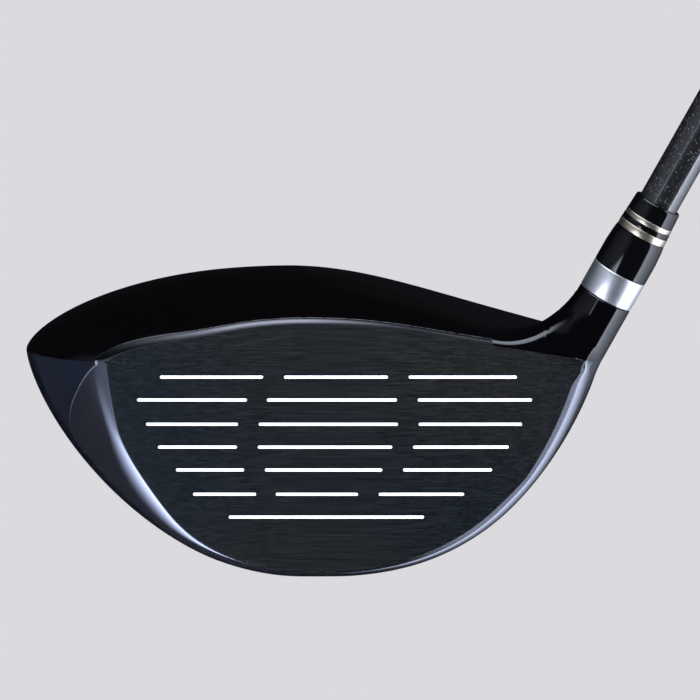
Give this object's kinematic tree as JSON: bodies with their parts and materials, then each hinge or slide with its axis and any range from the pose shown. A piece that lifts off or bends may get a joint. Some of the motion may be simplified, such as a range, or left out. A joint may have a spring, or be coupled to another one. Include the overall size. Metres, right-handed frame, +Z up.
{
  "type": "golf driver",
  "caption": "Right-handed golf driver with a hollow rounded head, grooved face, slim glued neck with a trimmed ferrule, long tapered shaft, rubber grip and a screwed sole weight.",
  "frame": {"origin": "point on the ground under the lowest point of the sole, with the club at address", "axes": "+X from toe to heel, +Y from the face toward the rear of the head, +Z up; the shaft leans toward +X at its lie angle"},
  "size_m": [0.6609, 0.1205, 1.0149],
  "materials": {
    "face_metal": "dark horizontal hairline brushing",
    "score_paint": "matt white paint fill",
    "crown_gloss": "deep gloss black lacquer",
    "body_gloss": "gloss dark navy lacquer",
    "neck_gloss": "gloss black lacquer",
    "collar_satin": "satin turned",
    "ferrule_plastic": "polished black",
    "trim_metal": "polished pale champagne",
    "glue": "cured epoxy",
    "plug_metal": "plain",
    "pin_metal": "plain",
    "shaft_paint": "near-black with fine sparkle",
    "grip_rubber": "matt with a fine moulded pattern",
    "tape_paper": "plain",
    "hot_melt": "soft",
    "slug_metal": "satin turned",
    "screw_metal": "black oxide",
    "gasket_rubber": "plain"
  },
  "bodies": {
    "club": {"face_cup": "face_metal", "score_line_fill": "score_paint", "crown_shell": "crown_gloss", "body_shell": "body_gloss", "hosel_neck": "neck_gloss", "hosel_collar": "collar_satin", "ferrule_base": "ferrule_plastic", "trim_ring_wide": "trim_metal", "ferrule_spacer": "ferrule_plastic", "trim_ring_narrow": "trim_metal", "ferrule_cap": "ferrule_plastic", "hosel_epoxy": "glue", "hosel_plug": "plug_metal", "tip_weight": "pin_metal", "shaft": "shaft_paint", "grip": "grip_rubber", "grip_tape": "tape_paper", "hot_melt_pad": "hot_melt", "weight_gasket": "gasket_rubber"},
    "weight_slug": {"weight_slug": "slug_metal"},
    "weight_screw": {"weight_screw": "screw_metal", "screw_clip": "screw_metal"}
  },
  "joints": [
    {"name": "weight_slide", "type": "slide", "parent": "club", "child": "weight_slug", "axis": [0, 0.3665, -0.9304], "range_m": [0, 0.005]},
    {"name": "weight_turn", "type": "hinge", "parent": "weight_slug", "child": "weight_screw", "pos_m": [0.008, 0.07613, 0.0142], "axis": [0, 0.3665, -0.9304], "range_deg": [0, 2260]}
  ],
  "couplings": [
    {"joint": "weight_turn", "follows": "weight_slide", "rad_per_m": 7854}
  ]
}
